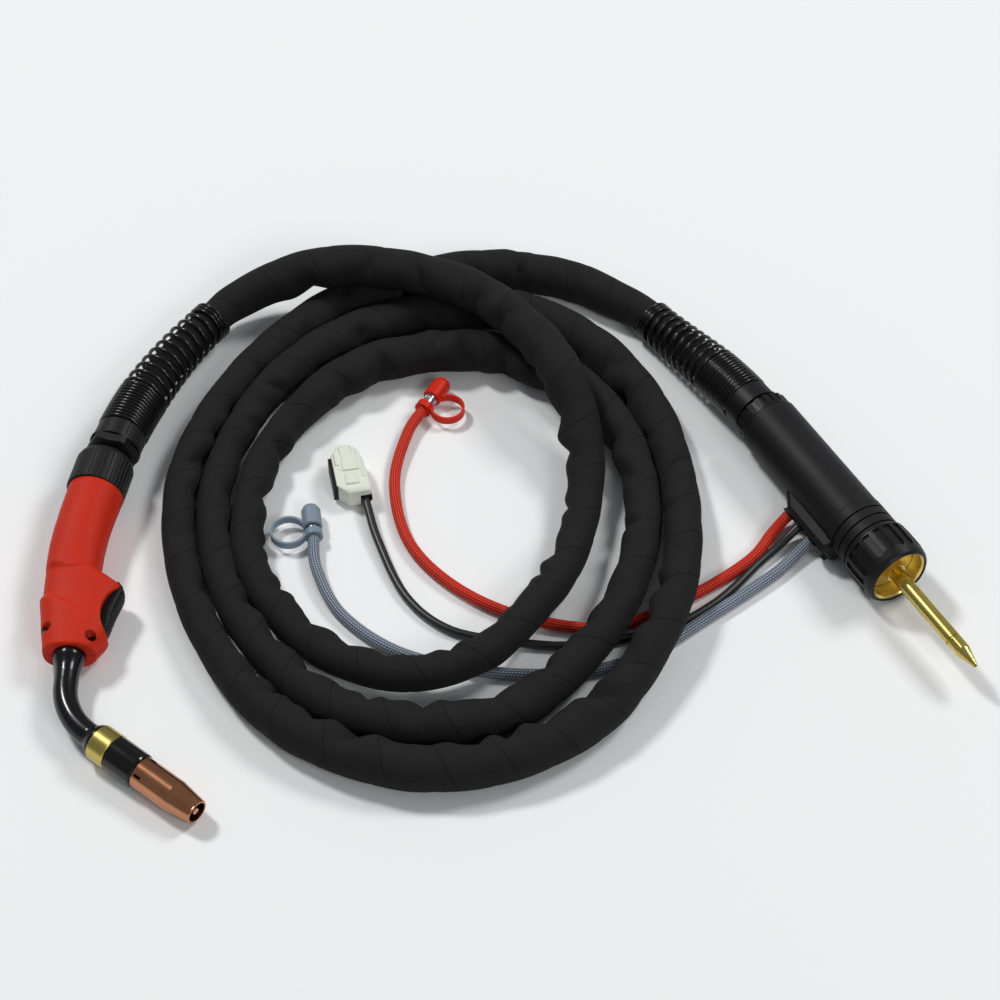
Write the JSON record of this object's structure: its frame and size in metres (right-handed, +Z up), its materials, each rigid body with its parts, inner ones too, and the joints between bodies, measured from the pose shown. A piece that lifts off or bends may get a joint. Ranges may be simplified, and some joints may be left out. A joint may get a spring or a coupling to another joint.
{
  "type": "mig welding torch",
  "caption": "Gas-cooled MIG welding torch with trigger handle, bent neck and copper nozzle, coiled sleeved hose pack, central connector, two capped gas hoses and a control cable with plug",
  "frame": {"origin": "middle of the object's footprint on the floor, with the cords left out", "axes": "+X along the object's longest extent, from the torch to the connector, +Y away from the viewer, +Z up"},
  "size_m": [0.6204, 0.514, 0.061],
  "materials": {
    "red_shell": "satin",
    "black_plastic": "matt",
    "black_rubber": "matt",
    "black_gloss": "glossy",
    "spring_black": "satin black",
    "sleeve": "woven",
    "steel": "bright",
    "brass": "machined",
    "copper": "drawn copper",
    "red_hose": "braided",
    "grey_hose": "braided",
    "ivory": "satin"
  },
  "bodies": {
    "base": {"swivel_ball": "black_plastic", "torch_collar": "black_plastic", "torch_spring": "spring_black", "hose_pack": "sleeve", "connector_spring": "spring_black", "connector_collar": "black_plastic", "connector_ball": "black_plastic", "lock_nut": "black_plastic", "connector_body": "black_plastic", "outlet_grommets": "black_rubber", "blank_plug": "black_rubber", "body_screw": "steel", "face_plate": "brass", "inlet_pipe": "brass", "pipe_tip": "brass", "red_hose": "red_hose", "red_fitting": "steel", "red_cap": "red_hose", "grey_hose": "grey_hose", "grey_fitting": "steel", "grey_cap": "grey_hose", "control_cable": "black_rubber", "plug_housing": "ivory", "plug_face": "black_plastic", "plug_gland": "black_rubber", "plug_latch": "ivory"},
    "torch": {"handle_upper": "red_shell", "handle_lower": "red_shell", "handle_screws": "steel", "trigger_pin": "steel", "switch_body": "black_plastic", "neck_boot": "black_rubber", "neck_tube": "black_rubber", "neck_core": "brass", "neck_collar": "black_rubber", "brass_ring": "brass", "insulator_sleeve": "black_gloss", "gas_diffuser": "brass", "contact_tip": "copper"},
    "trigger": {"trigger": "black_plastic"},
    "button": {"switch_button": "red_shell"},
    "ring_nut": {"rear_nut": "black_plastic"},
    "nozzle": {"gas_nozzle": "copper"},
    "hand_nut": {"hand_nut": "black_gloss", "nut_insert": "brass"}
  },
  "joints": [
    {"name": "swivel", "type": "hinge", "parent": "base", "child": "torch", "pos_m": [-0.27809, 0.06152, 0.02117], "axis": [0, 0, 1], "range_deg": [-7, 7]},
    {"name": "trigger_hinge", "type": "hinge", "parent": "torch", "child": "trigger", "pos_m": [-0.2715, -0.08101, 0.01619], "axis": [0, -0.0349, 0.9994], "range_deg": [0, 6], "stiffness_Nm_per_rad": 0.6, "springref_deg": -20.05},
    {"name": "button_slide", "type": "slide", "parent": "torch", "child": "button", "axis": [-1, 0, 0], "range_m": [0, 0.003]},
    {"name": "ring_nut_turn", "type": "hinge", "parent": "torch", "child": "ring_nut", "pos_m": [-0.2821, 0.04092, 0.02045], "axis": [0.1908, 0.981, 0.0343], "continuous": true},
    {"name": "nozzle_slide", "type": "slide", "parent": "torch", "child": "nozzle", "axis": [0.7771, -0.6289, -0.022], "range_m": [0, 0.03]},
    {"name": "hand_nut_turn", "type": "hinge", "parent": "base", "child": "hand_nut", "pos_m": [0.25971, -0.0256, 0.0245], "axis": [0.4863, -0.8738, 0], "continuous": true}
  ],
  "couplings": [
    {"joint": "button_slide", "follows": "trigger_hinge", "m_per_rad": 0.0275}
  ]
}
